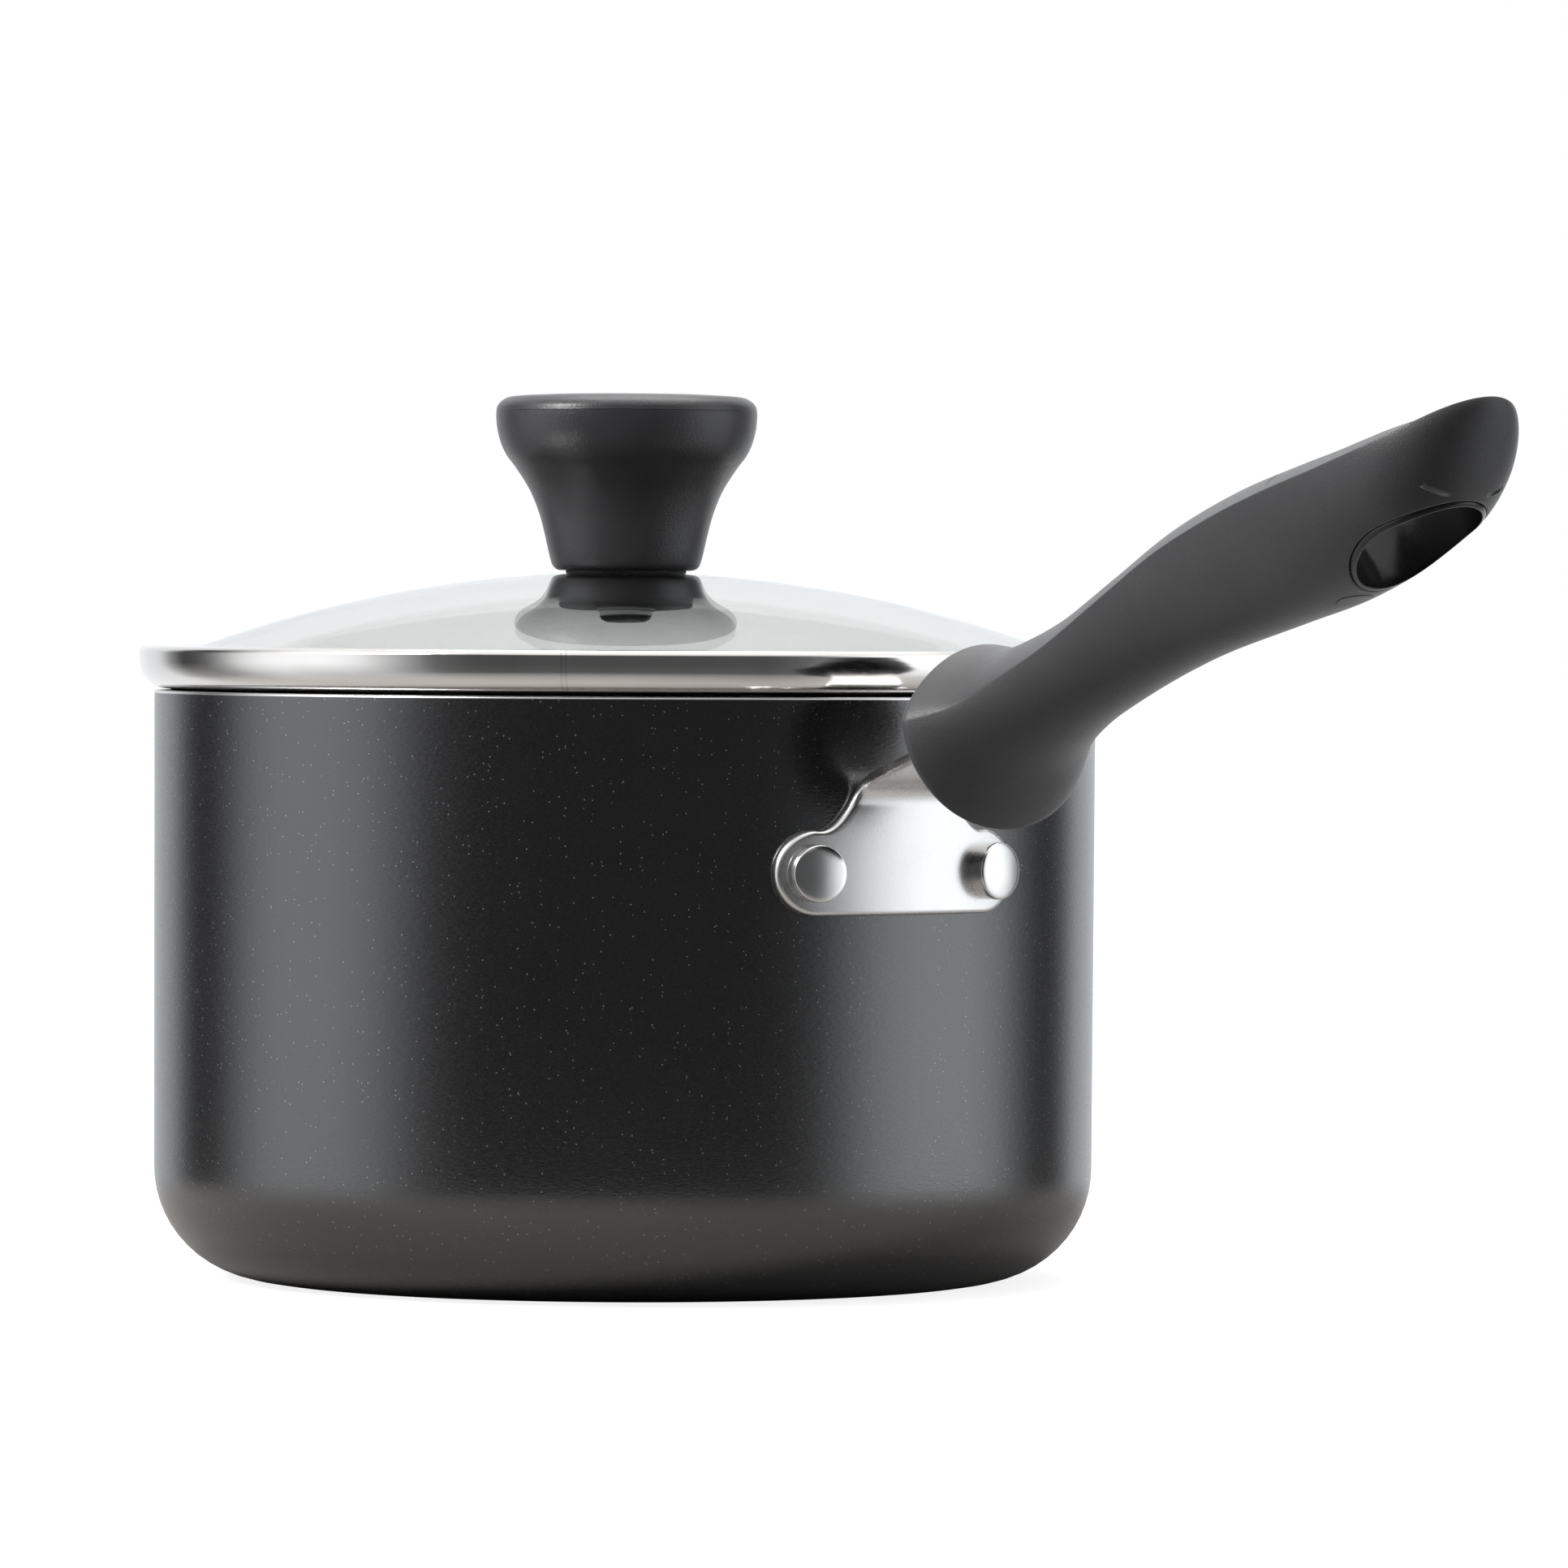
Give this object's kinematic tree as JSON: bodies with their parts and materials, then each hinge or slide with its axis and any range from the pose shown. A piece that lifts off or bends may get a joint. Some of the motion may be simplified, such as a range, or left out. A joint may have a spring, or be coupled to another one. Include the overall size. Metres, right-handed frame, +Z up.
{
  "type": "saucepan with glass lid",
  "caption": "Straight-sided aluminium saucepan with a long curved soft-touch handle on a riveted steel bracket, and a steel-rimmed glass lid that lifts off by its knob.",
  "frame": {"origin": "centre of the flat underside of the base, on the surface it stands on", "axes": "+Z up, +X from the pan's axis out along the handle, Y = 0 is the plane of symmetry"},
  "size_m": [0.3229, 0.1704, 0.1549],
  "materials": {
    "pan_enamel": "black satin enamel with fine silver flecks, bare bright rim",
    "bracket_steel": "satin stainless steel with polished edges",
    "rivet_steel": "satin",
    "core_phenolic": "gloss black",
    "grip_soft_touch": "matte charcoal soft touch",
    "lid_glass": "clear tempered",
    "band_steel": "polished stainless steel",
    "knob_phenolic": "pebbled matte black",
    "insert_brass": "machined",
    "screw_steel": "satin",
    "pad_rubber": "matte dark grey"
  },
  "bodies": {
    "pan": {"pan_body": "pan_enamel", "handle_bracket": "bracket_steel", "rivet_left": "rivet_steel", "rivet_right": "rivet_steel", "handle_core": "core_phenolic", "handle_grip": "grip_soft_touch"},
    "lid": {"lid_glass": "lid_glass", "lid_band": "band_steel", "lid_knob": "knob_phenolic", "knob_insert": "insert_brass", "knob_screw": "screw_steel", "knob_washer": "screw_steel", "knob_pad_lower": "pad_rubber", "knob_pad_upper": "pad_rubber"}
  },
  "joints": [
    {"name": "lid_lift", "type": "slide", "parent": "pan", "child": "lid", "axis": [0, 0, 1], "range_m": [0, 0.12]}
  ]
}
